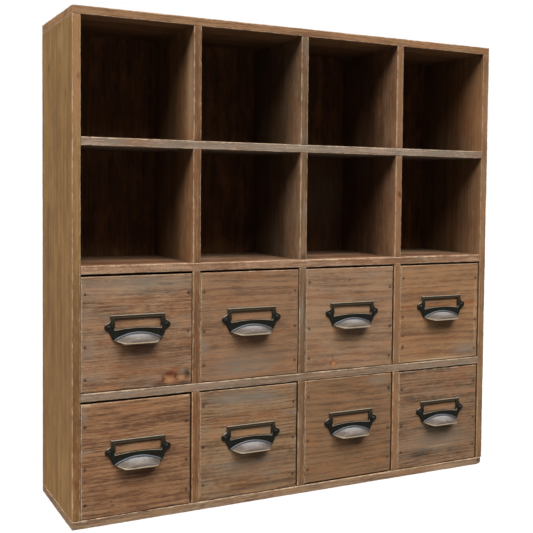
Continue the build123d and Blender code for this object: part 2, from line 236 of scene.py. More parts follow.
def wander(distance, waves, seed):
    """A smooth random line along an edge: the mean of sines of the given wavelengths in
    millimetres, each with its own phase, so that it lies between -1 and 1."""
    phases = np.random.default_rng(seed).uniform(0, 2 * np.pi, len(waves))
    angles = 2 * np.pi * distance[..., None] / np.array(waves) + phases
    return np.sin(angles).mean(-1)


def placed(name, data):
    """A new object in the scene that shows a mesh, a lamp or a camera."""
    made = bpy.data.objects.new(name, data)
    bpy.context.scene.collection.objects.link(made)
    return made


def piece(name, points, faces, materials, body, nodes, attributes=(), coats=()):
    """Puts worked-out points and faces into a mesh, turns them outwards and hangs it on its body."""
    mesh = bpy.data.meshes.new(name)
    mesh.from_pydata(points * MM, [], faces)
    for key, values in dict(attributes).items():
        mesh.attributes.new(key, "FLOAT", "POINT").data.foreach_set("value", values)
    for material in materials:
        mesh.materials.append(material)
    if len(coats):
        mesh.polygons.foreach_set("material_index", coats)
    shaped = bmesh.new()
    shaped.from_mesh(mesh)
    bmesh.ops.recalc_face_normals(shaped, faces=shaped.faces)
    shaped.to_mesh(mesh)
    shaped.free()
    mesh.shade_smooth()
    made = placed(name, mesh)
    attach(made, body)
    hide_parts(*nodes)
    return made


def ribbon(loops):
    """Faces from each closed loop of points to the next, as rows of the points' numbers."""
    ahead = np.roll(loops, -1, 1)
    return np.stack([loops[:-1], ahead[:-1], ahead[1:], loops[1:]], -1).reshape(-1, 4).tolist()


def plank(outline, axis, low, high, worn, seed, rounded=(), blunt=None):
    """A sawn board from its outline, anticlockwise, in the two axes that follow its third.

    Round each face the arris is a quarter circle: at angle t its inset is r (1 - sin t) and
    its depth r (1 - cos t), where the radius r wanders along the edge. Each outward corner of
    the outline is a quarter circle too. Returns the points, the faces and how near each
    point is to an arris."""
    corners = np.array(outline, float)
    along = np.roll(corners, -1, 0) - corners
    length = np.hypot(*along.T)
    along /= length[:, None]
    inward = np.stack([-along[:, 1], along[:, 0]], 1)
    start = np.r_[0, np.cumsum(length)]
    bend = np.radians([0, 30, 60, 90])[:, None]
    step = 4.5
    samples = []
    for i, corner in enumerate(corners):
        before, after = inward[i - 1], inward[i]
        outward = along[i - 1][0] * along[i][1] - along[i - 1][1] * along[i][0] > 0
        swing = before + after - before * np.cos(bend) - after * np.sin(bend)
        swing = swing if outward else np.zeros((1, 2))
        ones = np.ones((len(swing), 1))
        radius = dict(rounded).get(i, 0.8)
        bent = [corner * ones, (before + after) * ones, swing, start[i] * ones, radius * ones]
        between = np.arange(max(step, radius + 1), length[i] - step + 0.01, step)[:, None]
        ones = np.ones_like(between)
        run = corner + along[i] * between
        straight = [run, after * ones, 0 * ones, 0 * ones, start[i] + between, ones]
        samples += [np.hstack(bent), np.hstack(straight)]
    samples = np.concatenate(samples)
    base, push, swing, place, curve = np.split(samples, [2, 4, 6, 7], 1)
    place = place[:, 0]
    line = 0.1 + 0.1 * wander(place, (37.0, 83.0, 171.0), seed + 7)
    rows = []
    for face, side in ((low, 1), (high, -1)):
        uneven = wander(place, (9.0, 21.0, 52.0, 139.0), seed + side)
        radius = worn * np.clip(1 + 1.1 * uneven, 0.3, 3.0)
        if blunt is not None:
            radius = np.maximum(radius, blunt(base, side))
        turn = np.radians([0, 22.5, 45, 67.5, 90])
        arc = [(radius * (1 - np.sin(t)), radius * (1 - np.cos(t)), 1.0) for t in turn]
        cap = [(radius + 3.0, 0.0, 0.0), (radius + 1.0, 0.0, 0.45)]
        wall = [(0.0 * radius, radius + 0.8, 0.45), (0.0 * radius, radius + 2.2, 0.0)]
        half = cap + arc + wall
        rows += [(line + inset, face + side * depth, near) for inset, depth, near in half[::side]]
    order = {"X": (1, 2, 0), "Y": (2, 0, 1), "Z": (0, 1, 2)}[axis]
    points = np.zeros((len(rows), len(place), 3))
    arris = np.zeros((len(rows), len(place)))
    for k, (inset, depth, near) in enumerate(rows):
        inset = inset[:, None]
        points[k][:, order[:2]] = base + push * inset + swing * np.maximum(curve - inset, 0.02)
        points[k][:, order[2]] = depth
        arris[k] = near
    index = np.arange(arris.size).reshape(arris.shape)
    faces = ribbon(index) + [index[0][::-1].tolist(), index[-1].tolist()]
    return points.reshape(-1, 3), faces, arris.ravel()


def board(name, outline, axis, low, worn, seed, material, node, thick=BOARD, rounded=(), blunt=None):
    """A case board, made as a plank and fixed to the case."""
    points, faces, arris = plank(outline, axis, low, low + thick, worn, seed, rounded, blunt)
    return piece(name, points, faces, [material], "case", [node], {"arris": arris})


def rectangle(a0, a1, b0, b1):
    """The outline of a plain board, anticlockwise."""
    return [(a0, b0), (a1, b0), (a1, b1), (a0, b1)]


def blunt_corner(base, side):
    """The radius of the bottom board's lower arris, which grows to that of the worn corner in
    the six millimetres that start nine before the right end."""
    return np.where(side > 0, WORN_CORNER * np.clip((base[:, 0] - CASE_HALF + 9) / 6, 0, 1), 0.0)


upright = rectangle(FRONT, REAR, BOARD, CASE_TOP - BOARD)
lying = rectangle(-CASE_HALF, CASE_HALF, FRONT, REAR)
tones = ("#6e522e", "#7a5a33", "#8b6b40")
left_pine = old_pine(
    "khaki_stained_pine", "ZYX", tones, (-30.0, -120.0), 11, grey=0.15, inside=0.45, warm=0.2, rubbed=0.5,
    marks=[
        ("tan", (-295, FRONT, 540), (9, 3, 120), 0.6),
        ("tan", (-295, FRONT, 400), (9, 3, 140), 0.25),
        ("soot", (-300, 39, 547), (FAR, 4, 9), 0.7),
        ("soot", (-300, -47, 509), (FAR, 3, 7), 0.7),
        ("soot", (-300, -62, 292), (FAR, 3, 7), 0.7),
        ("soot", (-300, 42, 330), (8, 5, 170), 0.35),
        ("pale", (-300, -20, 575), (8, 16, 16), 0.2),
        ("knot", (-295, FRONT, 54), (3.5, 4, 6), 0.65),
        ("knot", (-293, FRONT, 525), (3, 4, 5), 0.5),
        ("umber", (-295, FRONT, 110), (9, 3, 230), 0.65),
        ("umber", (-300, 0, 240), (4, FAR, 280), 0.22),
        ("ember", (-295, FRONT, 70), (3, 4, 40), 0.3),
    ],
)
board("left_side_board", upright, "X", -CASE_HALF, ARRIS, 21, left_pine, "left_side")
tones = ("#684b30", "#7d5e3f", "#876646")
right_pine = old_pine(
    "brown_stained_pine", "ZYX", tones, (40.0, 150.0), 12, inside=0.42, rubbed=0.3,
    marks=[
        ("umber", (290, -50, 360), (4, 90, 90), 0.5),
        ("ember", (290, -40, 520), (4, 70, 80), 0.45),
    ],
)
board("right_side_board", upright, "X", CASE_HALF - BOARD, ARRIS, 22, right_pine, "right_side")
tones = ("#6d4c30", "#85603e", "#916e4d")
top_pine = old_pine("warm_stained_pine", "XZY", tones, (-90.0, 60.0), 13, grey=0.12, inside=0.42)
thick = BOARD - NAIL_PROUD
board("top_long_board", lying, "Z", CASE_TOP - BOARD, ARRIS, 23, top_pine, "top_board", thick)
tones = ("#5c4432", "#785e47", "#8a6f54")
bottom_pine = old_pine(
    "tan_stained_pine", "XZY", tones, (-60.0, -40.0), 14, grey=0.2, sawn=0.5, slant=0.8, inside=0.42,
    marks=[
        ("soot", (297, FRONT, 5), (6, 14, 7), 0.8),
        ("umber", (-139, FRONT, 4), (5, 6, 4), 0.8),
        ("pale", (240, FRONT, 4), (60, 6, 4), 0.3),
    ],
)
worn_end = {1: WORN_CORNER}
board("bottom_long_board", lying, "Z", NAIL_PROUD, ARRIS, 24, bottom_pine, "bottom_board", thick,
      worn_end, blunt_corner)

# Shelves: three long boards of the same old pine. The upper and lower ones are slotted from
# behind and cross-lapped with the dividers, the middle one is whole, and all three are let
# into housings in the sides, which stop short of the front.
LAP_LINE = -5.0
PANEL_FRONT = 68.5
TONGUE_FRONT = -66.5
TONGUE_END = 293.0
DIVIDER_LEFTS = (-152.5, -5.0, 142.5)


def shelf_outline(slotted):
    """A shelf seen from above, with its end tongues and the slots from behind."""
    slots = []
    for left in reversed(DIVIDER_LEFTS if slotted else ()):
        far = left + BOARD
        slots += [(far, PANEL_FRONT), (far, LAP_LINE), (left, LAP_LINE), (left, PANEL_FRONT)]
    wall = CASE_HALF - BOARD
    right = [(wall, FRONT), (wall, TONGUE_FRONT), (TONGUE_END, TONGUE_FRONT), (TONGUE_END, PANEL_FRONT)]
    return right + slots + [(-x, y) for x, y in reversed(right)]


shelves = [
    ("upper_shelf", 447, True, ("#715a48", "#7e6856", "#9a8674"), 0.75, 0.5, 0.3, 31),
    ("middle_shelf", 298, False, ("#6c4e34", "#7f5e46", "#9d7c60"), 0.3, 0.5, 0.2, 32),
    ("lower_shelf", 149, True, ("#65513e", "#76604c", "#877260"), 0.55, 0.6, 1.3, 33),
]
for node, low, slotted, tones, grey, sawn, slant, seed in shelves:
    darker = [("umber", (0, -48, low + BOARD), (FAR, 30, 2), 0.95)]
    shelf_pine = old_pine(node + "_pine", "XZY", tones, (low - 70.0, 30.0), seed, grey, sawn, slant,
                          inside=0.42, pitch=4.4, marks=darker)
    board(node + "_board", shelf_outline(slotted), "Z", low, 0.8, seed, shelf_pine, node)

# Dividers: six uprights, three for the open rows and three for the drawer rows, each slotted
# from the front where it crosses a shelf. They come from different boards, one golden, one
# grown grey-brown and one light, and their front edges are worn uneven.
divider_tones = [
    ("golden", ("#6c4a2d", "#785535", "#906e49"), 0.2),
    ("grey_brown", ("#5a412a", "#674e35", "#765a40"), 0.5),
    ("light", ("#543823", "#68492f", "#7b5d43"), 0.25),
]
divider_marks = [
    ("umber", (-147.5, FRONT, 300), (9, 4, FAR), 0.6),
    ("umber", (-147.5, FRONT, 90), (9, 4, 140), 0.8),
    ("ember", (-147.5, FRONT, 90), (9, 4, 110), 0.15),
    # Painted light: a pale stripe near the front of the top left cell's right wall brightens it where the
    # side lamp shines in.
    ("pale", (-152.5, -66, 520), (3, 14, 90), 0.4),
    ("umber", (3, FRONT, 160), (4, 4, 140), 0.8),
    ("soot", (4, FRONT, 225), (2.5, 4, 80), 0.6),
    ("umber", (142.5, -35, 375), (3, 70, 75), 0.6),
    ("tan", (147.5, FRONT, 300), (9, 4, FAR), 0.35),
    ("ember", (147, FRONT, 387), (5, 9, 10), 0.7),
    ("knot", (150, FRONT, 394), (5, 9, 5), 0.9),
    ("soot", (0, FRONT, 312), (4, 8, 4), 0.8),
    ("soot", (148, FRONT, 106), (3, 6, 4), 0.6),
]
# Each row of dividers: its lower and upper end, and the lower face of the shelf that it crosses.
divider_rows = [("upper_dividers", 308, 596, 447), ("lower_dividers", 10, 298, 149)]
for column, (finish, tones, grey) in enumerate(divider_tones):
    left = DIVIDER_LEFTS[column]
    divider_pine = old_pine(finish + "_divider_pine", "ZXY", tones, (left - 45.0, -160.0), 41 + column,
                            grey, sawn=0.4, inside=0.42, rubbed=0.55, marks=divider_marks)
    for node, low, high, crossing in divider_rows:
        notch = rectangle(FRONT, LAP_LINE, crossing, crossing + BOARD)
        outline = rectangle(FRONT, PANEL_FRONT, low, high) + notch[::-1]
        name = "{}_{}_board".format(node[:-1], column + 1)
        board(name, outline, "X", left, 0.75, 50 + 10 * column + low % 7, divider_pine, node)

# Back panel: thin plywood with a dark stain, its face grain upright, slid into grooves on all
# four edges six millimetres in from the back.
def dressed(node, material):
    """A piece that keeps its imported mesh, with its material."""
    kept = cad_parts[node]
    kept.data.materials.clear()
    kept.data.materials.append(material)
    return kept


tones = ("#3f240c", "#543111", "#643e16")
# Painted light: a paler grey patch on the back panel behind the third cell of the middle row.
painted_light_patch = [("grey", (108, 67, 385), (60, 4, 80), 0.45)]
panel_pine = old_pine("dark_stained_plywood", "ZXY", tones, (0.0, 400.0), 61, grey=0.0, marks=painted_light_patch)
dressed("back_panel", panel_pine)

# Case nails: square cut nails, rusted nearly black, driven through the top and bottom boards
# into the uprights, two to each, with their heads just proud of the wood.
def aged_metal(name, base, spots_and_shading, metallic, roughness, grain, worn="#8f7648", shine=0.5):
    """Iron or cast alloy that has been darkened and then handled.

    The eye gets a dull mottled surface with a fine cast or forged grain, pushed towards the spot
    tone by a second attribute that carries painted shade and light, and bright rubbed metal, with
    some painted highlight, where the attribute worn is."""
    material, tree = blank(name)
    place = add(tree, "TexCoord", {}, out=3)
    point = add(tree, "VectorMath", {0: place, 3: 1 / MM}, operation="SCALE")
    field = {}
    # Each pattern: its cell in millimetres and its detail.
    patterns = {"mottle": (3.2, 4.0), "grit": (grain, 3.0), "cloud": (7.0, 4.0)}
    for key, (cell, detail) in patterns.items():
        settings = {"Vector": point, "Scale": 1 / cell, "Detail": detail, "Roughness": 0.6}
        field[key] = add(tree, "TexNoise", settings)
    painted_shading = add(tree, "Attribute", {}, out=2, attribute_name="painted_shading")
    mottle = add(tree, "MapRange", {0: field["mottle"], 1: 0.4, 2: 0.66, 4: 0.35})
    # Painted shade and light: this attribute pushes the colour to the spot tone, which darkens the cup's
    # dome and lightens the plate's top.
    mottle = add(tree, "Math", {0: mottle, 1: painted_shading}, operation="ADD", use_clamp=True)
    colour = add(tree, "Mix", {0: mottle, 6: linear(base), 7: linear(spots_and_shading)}, **COLOUR_MIX)
    rubbed = add(tree, "Attribute", {}, out=2, attribute_name="worn")
    rubbed = add(tree, "Math", {0: field["cloud"], 1: 0.8, 2: rubbed}, operation="MULTIPLY_ADD")
    rubbed = add(tree, "MapRange", {0: rubbed, 1: 0.7, 2: 1.25, 4: 0.9}, **SMOOTH)
    colour = add(tree, "Mix", {0: rubbed, 6: colour, 7: linear(worn)}, **COLOUR_MIX)
    spread = {0: field["grit"], 1: 0.3, 2: 0.7, 3: roughness - 0.1, 4: roughness + 0.12}
    rough = add(tree, "MapRange", spread)
    relief = add(tree, "Bump", {"Height": field["grit"], "Distance": 0.1 * MM, "Strength": 0.6})
    settings = {"Base Color": colour, "Metallic": metallic, "Roughness": rough, "Normal": relief}
    surface = add(tree, "BsdfPrincipled", {**settings, "Specular IOR Level": shine})
    add(tree, "OutputMaterial", {"Surface": surface})
    return material


rusty_iron = aged_metal("rust_black_iron", "#331d13", "#52301d", 0.1, 0.8, 0.5, shine=0.1)


def joined(parts):
    """One mesh from several: their points one after another, and their faces counted on."""
    points, faces = np.zeros((0, 3)), []
    for own_points, own_faces in parts:
        faces += [[corner + len(points) for corner in face] for face in own_faces]
        points = np.r_[points, own_points]
    return points, faces


def tube(rows):
    """Faces of closed rings of points in a row, with a face over each end."""
    index = np.arange(rows.shape[0] * rows.shape[1]).reshape(rows.shape[:2])
    return ribbon(index) + [index[0].tolist(), index[-1].tolist()]


def cut_nail(point, into, size, length, turn):
    """A square cut nail from the middle of its head. Its section is the rounded square
    x = a sign(cos t) |cos t|^0.5, y the same with sin t, which narrows below the head."""
    t = np.radians(np.arange(0, 360, 30) + 15)
    waves = np.stack([np.cos(t), np.sin(t)], 1)
    ring = np.sign(waves) * np.abs(waves) ** 0.5 * size / 2
    ring = ring @ np.array([[np.cos(turn), np.sin(turn)], [-np.sin(turn), np.cos(turn)]])
    widths = np.array([0.5, 0.9, 1.0, 1.0, 0.8, 0.8, 0.2])
    depths = np.array([0.0, 0.05, 0.15, 0.5, 0.9, length - 4, length])
    into = np.array(into, float)
    across = np.roll(into, 1)
    aside = np.cross(into, across)
    flat = ring[:, :1] * across + ring[:, 1:] * aside
    points = point + widths[:, None, None] * flat + depths[:, None, None] * into
    return points.reshape(-1, 3), tube(points)


NAIL_SIZE = 2.4
NAIL_LENGTH = 28.0
NAIL_INSET = 30.0
lefts = [-CASE_HALF, *DIVIDER_LEFTS, CASE_HALF - BOARD]
angles = iter(np.random.default_rng(3).uniform(-0.3, 0.3, 200))
case_nails = []
for x in [left + BOARD / 2 for left in lefts]:
    for y in (FRONT + NAIL_INSET, PANEL_FRONT - NAIL_INSET):
        for z, down in ((CASE_TOP, -1), (0, 1)):
            case_nails.append(cut_nail((x, y, z), (0, 0, down), NAIL_SIZE, NAIL_LENGTH, next(angles)))
points, faces = joined(case_nails)
piece("case_cut_nails", points, faces, [rusty_iron], "case", ["case_nails"])

# Drawer boxes: thin pine sides and back, pinned, round a thin bottom in grooves. The wood is
# the same, unstained inside and only a little dirty, and its sharp edges are just eased.
places = [(row, column) for row in (3, 4) for column in (1, 2, 3, 4)]
drawers = {place: "drawer_r{}c{}".format(*place) for place in places}
box_looks = {
    "sides": ("drawer_side_pine", "YZX", ("#6e5135", "#93714d", "#af8a62"), (60.0, -90.0), 71, 0.25, 0.4),
    "back": ("drawer_back_pine", "XZY", ("#684d31", "#8c6b48", "#a6835d"), (-80.0, 60.0), 72, 0.3, 0.5),
    "floor": ("drawer_bottom_plywood", "XYZ", ("#644a30", "#856744", "#9a7a54"), (0.0, 300.0), 73, 0.2),
}
box_pines = {wall: old_pine(*look) for wall, look in box_looks.items()}
for drawer in drawers.values():
    for wall, pine in box_pines.items():
        box_wall = dressed(drawer + "_" + wall, pine)
        weld = box_wall.modifiers.new("joined_corners", "WELD")
        weld.merge_threshold = 0.01 * MM
        eased = box_wall.modifiers.new("eased_edges", "BEVEL")
        eased.width = 0.4 * MM
        eased.segments = 2
        eased.limit_method = "ANGLE"
        eased.use_clamp_overlap = True

# Drawer fronts: eight square boards with the grain across, each from another plank, stained
# and then rubbed until the edges went pale. Some have knots, heartwood streaks or dirt, and
# the pins at their sides are punched a little below the face.
PIN_INSET = 4.6
# Heights of the three pins at each side, as shares of the front's height from its top.
pin_shares = {
    (3, 1): ((0.15, 0.61, 0.89), (0.17, 0.52, 0.90)),
    (3, 2): ((0.18, 0.54, 0.85), (0.20, 0.54, 0.87)),
    (3, 3): ((0.13, 0.58, 0.87), (0.21, 0.61, 0.91)),
    (3, 4): ((0.13, 0.53, 0.84), (0.15, 0.60, 0.91)),
    (4, 1): ((0.20, 0.57, 0.88), (0.24, 0.59, 0.87)),
    (4, 2): ((0.13, 0.51, 0.86), (0.18, 0.52, 0.88)),
    (4, 3): ((0.16, 0.59, 0.87), (0.15, 0.56, 0.86)),
    (4, 4): ((0.18, 0.56, 0.83), (0.17, 0.56, 0.85)),
}


def pin_places(low, high, shares):
    """The points on the front's face where its six pins are driven, left side first."""
    height = high[2] - low[2]
    columns = zip((low[0] + PIN_INSET, high[0] - PIN_INSET), shares)
    return [(x, high[2] - share * height) for x, side in columns for share in side]


def corners(node):
    """The lowest and the highest corner of a node's box, in millimetres."""
    return [np.array(corner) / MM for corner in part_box(node)]


def sheet(form):
    """The faces of an open grid of points, and its rim in order."""
    index = np.arange(form[0] * form[1]).reshape(form)
    quads = np.stack([index[:-1, :-1], index[1:, :-1], index[1:, 1:], index[:-1, 1:]], -1)
    rim = np.r_[index[:-1, 0], index[-1, :-1], index[:0:-1, -1], index[0, :0:-1]]
    return quads.reshape(-1, 4).tolist(), rim


def ladder(low, high, pins):
    """Grid lines across a board, close together at its two edges and beside each pin."""
    edge = np.array([0.0, 0.2, 0.45, 0.8, 1.3, 2.0, 3.0, 4.5])
    middle = np.linspace(low + 8, high - 8, 26)
    beside = (np.unique(pins)[:, None] + np.array([-1.9, -1.2, -0.7, 0.0, 0.7, 1.2, 1.9])).ravel()
    middle = middle[np.abs(middle[:, None] - beside).min(1) > 0.5]
    edge = edge[: 7 if beside.min() < low + 6 else 8]
    return np.sort(np.r_[low + edge, middle, beside, high - edge])


def worn_front(low, high, pins, seed):
    """A drawer front whose face is rounded off towards its four edges and waves a little.

    At distance d inside an edge the face lies r - sqrt(r^2 - (r - d)^2) deeper than the plane,
    where the radius r wanders along that edge, and the four depths add as a root of squares.
    Round each pin, at distance p, it is punched in by 0.4 exp(-(p / 1.3)^2) millimetres.
    Returns also how near each point is to an arris, and how stained by the pins' iron."""
    xs = ladder(low[0], high[0], [x for x, z in pins])
    zs = ladder(low[2], high[2], [z for x, z in pins])
    x, z = np.meshgrid(xs, zs, indexing="ij")
    depth, near, iron = np.zeros((3, *x.shape))
    edges = [(x - low[0], z), (high[0] - x, z), (z - low[2], x), (high[2] - z, x)]
    for k, (inside, place) in enumerate(edges):
        radius = 0.9 * np.clip(1 + 1.3 * wander(place, (8.0, 19.0, 43.0, 97.0), seed + k), 0.35, 2.6)
        short = np.clip(radius - inside, 0, radius)
        depth += (radius - np.sqrt(radius**2 - short**2)) ** 2
        # Each arris is rubbed pale; the left one, which faces the side lamp, gets half as much again,
        # which is painted light.
        near = np.maximum(near, (1.5, 1.0, 1.0, 1.0)[k] * np.exp(-inside / 1.2))
    wave = wander(x, (61.0, 117.0), seed + 5) + wander(z, (17.0, 39.0, 83.0), seed + 6)
    face = low[1] + 0.1 + np.sqrt(depth) + 0.05 * wave
    for pin_x, pin_z in pins:
        gap = np.hypot(x - pin_x, z - pin_z)
        face += 0.4 * np.exp(-((gap / 1.3) ** 2))
        iron = np.maximum(iron, np.exp(-((gap / 1.8) ** 2)))
    front = np.stack([x, face, z], -1).reshape(-1, 3)
    faces, rim = sheet(x.shape)
    back = front[rim]
    back[:, 1] = high[1]
    behind = x.size + np.arange(len(rim))
    walls = np.stack([rim, behind, np.roll(behind, -1), np.roll(rim, -1)], -1)
    faces += walls.tolist() + [behind.tolist()]
    plain = np.zeros(len(rim))
    wear = {"arris": np.r_[near.ravel(), plain], "iron": np.r_[iron.ravel(), plain]}
    return np.r_[front, back], faces, wear


# Each front: its tones, the pith's place above the middle and behind the face, the rings' gap and
# depth of tone, grey share, saw marks, and stains as kind, x, z, half width and height, strength.
# The tan stain over each label window is partly wood kept fresh under the label card and partly painted
# light, which lifts the shade under the frame's top bar.
front_looks = {
    (3, 1): (("#5a3f2a", "#7e5e44", "#937255"), (330.0, 70.0), (3.4, 0.45), 0.5, 0.5, [
        ("grey", -223, 284, 74, 15, 0.55),
        ("grey", -276, 178, 25, 8, 0.4),
        ("grey", -280, 210, 12, 22, 0.35),
        ("grey", -165, 177, 7, 5, 0.5),
        ("umber", -179, 254, 4, 9, 0.35),
        ("umber", -215, 200, 62, 22, 0.3),
        ("ember", -222, 184, 72, 16, 0.3),
        ("umber", -215, 190, 72, 28, 0.35),
        ("umber", -178, 170, 20, 12, 0.5),
        ("umber", -197, 163.5, 11, 4, 0.8),
        ("umber", -172, 162, 20, 3, 0.8),
        ("ember", -181, 170, 13, 9, 0.8),
        ("ember", -174, 179, 5, 5, 0.95),
        ("knot", -182, 174.5, 9, 3.2, 0.85),
        ("knot", -190, 168, 2.8, 7, 0.85),
        ("knot", -174, 171.5, 2.8, 5, 0.85),
        ("soot", -185, 283, 13, 3, 0.55),
        ("soot", -196, 276, 28, 5, 0.3),
        ("soot", -192, 162, 12, 2, 0.7),
        ("soot", -163, 162, 10, 2.5, 0.8),
        ("soot", -160, 172, 5, 9, 0.65),
        ("tan", -223, 238, 30, 8, 0.35),
        ("tan", -182, 166.5, 6.5, 4.5, 0.85),
        ("tan", -167, 168.5, 6, 3.5, 0.95),
    ]),
    (3, 2): (("#634833", "#7b5b41", "#856549"), (-140.0, 90.0), (5.5, 0.65), 0.3, 0.5, [
        ("tan", -74, 238, 30, 8, 0.25),
        ("ember", -32, 167.6, 16, 2.5, 0.85),
        ("grey", -80, 178, 62, 20, 0.4),
        ("soot", -30, 163, 30, 2.5, 0.5),
        ("ember", -90, 256, 60, 5, 0.2),
        ("grey", -138, 204, 10, 15, 0.4),
        ("soot", -19, 265, 3, 2, 0.5),
    ]),
    (3, 3): (("#6b503c", "#81644a", "#8e6f54"), (400.0, 60.0), (8.5, 0.7), 0.3, 0.4, [
        ("umber", 72, 261, 74, 1.6, 0.7),
        ("ember", 72, 258, 74, 4, 0.3),
        ("umber", 66, 271, 60, 1.5, 0.5),
        ("knot", 71.6, 279, 1.6, 1.6, 0.9),
        ("ember", 48, 168, 8, 7, 0.85),
        ("umber", 46, 176, 1.6, 5, 0.6),
        ("umber", 43, 168, 1.5, 6, 0.6),
        ("soot", 137, 268, 2.5, 3, 0.7),
        ("soot", 137, 213, 3, 1.5, 0.7),
        ("grey", 105, 285, 30, 6, 0.3),
        ("soot", 34, 206, 12, 4, 0.25),
        ("tan", 74, 238, 30, 8, 0.2),
        ("tan", 47.5, 167, 4, 4, 0.9),
    ]),
    (3, 4): (("#6b4c33", "#836142", "#8f6b4a"), (-190.0, 80.0), (7.0, 0.8), 0.2, 0.4, [
        ("ember", 168, 237.6, 40, 2.2, 0.95),
        ("ember", 222, 238.4, 40, 2.4, 0.95),
        ("ember", 272, 239.7, 40, 3.0, 0.95),
        ("umber", 205, 236.8, 66, 1.2, 0.7),
        ("umber", 165, 199, 30, 1.5, 0.7),
        ("umber", 200, 198, 40, 1.5, 0.6),
        ("ember", 215, 190, 62, 7, 0.3),
        ("grey", 268, 172, 32, 16, 0.5),
        ("pale", 222, 161.5, 68, 1.6, 0.8),
        ("pale", 283, 220, 2.5, 60, 0.4),
        ("soot", 158, 198, 3, 1.5, 0.8),
        ("soot", 159, 183, 2, 3.5, 0.8),
        ("soot", 266, 165.5, 28, 3.5, 0.4),
        ("soot", 284, 211, 2, 6, 0.5),
    ]),
    (4, 1): (("#563926", "#765439", "#8c6849"), (230.0, 50.0), (4.8, 0.6), 0.15, 0.4, [
        ("tan", -222, 89, 30, 8, 0.3),
        ("umber", -222, 125, 66, 1.7, 0.4),
        ("umber", -215, 113, 68, 1.8, 0.4),
        ("umber", -225, 106, 64, 1.6, 0.4),
        ("umber", -218, 98, 66, 1.8, 0.35),
        ("umber", -222, 40, 80, 34, 0.3),
        ("soot", -253.6, 28, 4, 1.5, 0.85),
        ("soot", -251, 22, 2.5, 1.2, 0.8),
        ("soot", -282, 27, 3, 1.5, 0.8),
        ("soot", -222, 16, 62, 1.3, 0.45),
        ("pale", -284, 145, 8, 3, 0.7),
        ("grey", -286, 132, 6, 12, 0.5),
        ("grey", -284, 90, 9, 3, 0.5),
    ]),
    (4, 2): (("#4f3926", "#75583d", "#886b4d"), (-170.0, 60.0), (3.8, 0.6), 0.5, 0.5, [
        ("tan", -74, 89, 30, 8, 0.6),
        ("grey", -80, 135, 70, 13, 0.5),
        ("soot", -136, 134, 6, 5, 0.5),
        ("ember", -75, 110, 66, 7, 0.3),
        ("soot", -50, 21, 60, 5, 0.75),
        ("grey", -80, 46, 62, 17, 0.35),
        ("umber", -80, 32, 66, 18, 0.25),
        ("umber", -75, 22, 66, 4.5, 0.7),
    ]),
    (4, 3): (("#5e442e", "#71543a", "#7b5c40"), (260.0, 110.0), (6.0, 0.7), 0.25, 0.3, [
        ("tan", 74, 90, 30, 8, 0.3),
        ("soot", 137, 127, 2.5, 5, 0.75),
        ("soot", 136, 118, 3, 1.5, 0.6),
        ("soot", 99, 33, 1.5, 1.5, 0.5),
        ("soot", 40, 34, 1.5, 1.5, 0.4),
        ("soot", 114, 86, 2.5, 1, 0.5),
        ("grey", 120, 140, 26, 8, 0.4),
    ]),
    (4, 4): (("#4f3c2c", "#72563d", "#826349"), (-220.0, 90.0), (3.4, 0.6), 0.35, 0.3, [
        ("tan", 222, 90, 30, 8, 0.3),
        ("grey", 220, 46, 68, 22, 0.5),
        ("pale", 222, 36.4, 26, 1.2, 0.45),
        ("soot", 195, 26, 30, 7, 0.6),
        ("soot", 252, 26, 24, 6, 0.4),
    ]),
}
# Some fronts were cut a little wide, and nearly touch the divider at their right, and some a
# little low, with a wider black gap above. One sits high, with the gap below it.
extra_width = {(3, 1): 1.5, (3, 2): 1.0}
cut_low = {(3, 1): 1.0, (3, 2): 0.7, (3, 3): 0.7, (3, 4): 0.7, (4, 1): 0.9, (4, 3): -1.0}
cut_high = {(4, 3): 1.2}
pins = {}
for k, (place, drawer) in enumerate(drawers.items()):
    tones, (pith_up, pith_deep), rings, grey, sawn, stains_and_painted_light = front_looks[place]
    node = drawer + "_front"
    low, high = corners(node)
    high[0] += extra_width.get(place, 0)
    high[2] -= cut_low.get(place, 0)
    low[2] += cut_high.get(place, 0)
    pins[place] = pin_places(low, high, pin_shares[place])
    marks = []
    for kind, x, z, across, up, strength in stains_and_painted_light:
        marks.append((kind, (x, FRONT, z), (across, FAR, up), strength))
    pith = ((low[2] + high[2]) / 2 + pith_up, pith_deep)
    name = drawer.replace("_", "_pine_")
    front_pine = old_pine(name, "XZY", tones, pith, 81 + k, grey, sawn, 0.15, rings=rings, marks=marks)
    points, faces, wear = worn_front(low, high, pins[place], 200 + 10 * k)
    name = drawer + "_face_board"
    piece(name, points, faces, [front_pine], drawer, [node], wear)

# Pins: six square cut pins rusted black, driven by eye through each front into the drawer's
# sides and punched just under the face.
PIN_SIZE = 1.9
PIN_LENGTH = 22.0
PIN_SUNK = 0.25
for place, drawer in drawers.items():
    heads = [(x, FRONT + PIN_SUNK, z) for x, z in pins[place]]
    parts = [cut_nail(head, (0, 1, 0), PIN_SIZE, PIN_LENGTH, next(angles)) for head in heads]
    points, faces = joined(parts)
    piece(drawer + "_pins", points, faces, [rusty_iron], drawer, [drawer + "_fasteners"])

# Cup pulls: one casting each, with a label frame above a hollow cup. The plate was blackened,
# and the cup, its collar and the raised edges have been rubbed back to grey metal and brass.
# Painted light and shade: the plate is lighter towards its top, the dome darkens towards its
# mouth, and the dome's upper middle and the plate's upward edges carry painted highlights.
PLATE_HALF = 33.5
PLATE_THICK = 2.0
WINDOW_HALF = 28.25
WINDOW_TOP = -4.2
WINDOW_LOW = -17.4
EAR_X = 35.6
EAR_Z = -13.8
EAR_RADIUS = 4.9
EAR_COVE = 5.5
TIP_X = 30.0
CUP_LINE = -31.0
SILL_RISE = 2.2
BEAD_HALF = 0.65
EDGE_ROUND = 0.7
SCREW_RING = 3.7
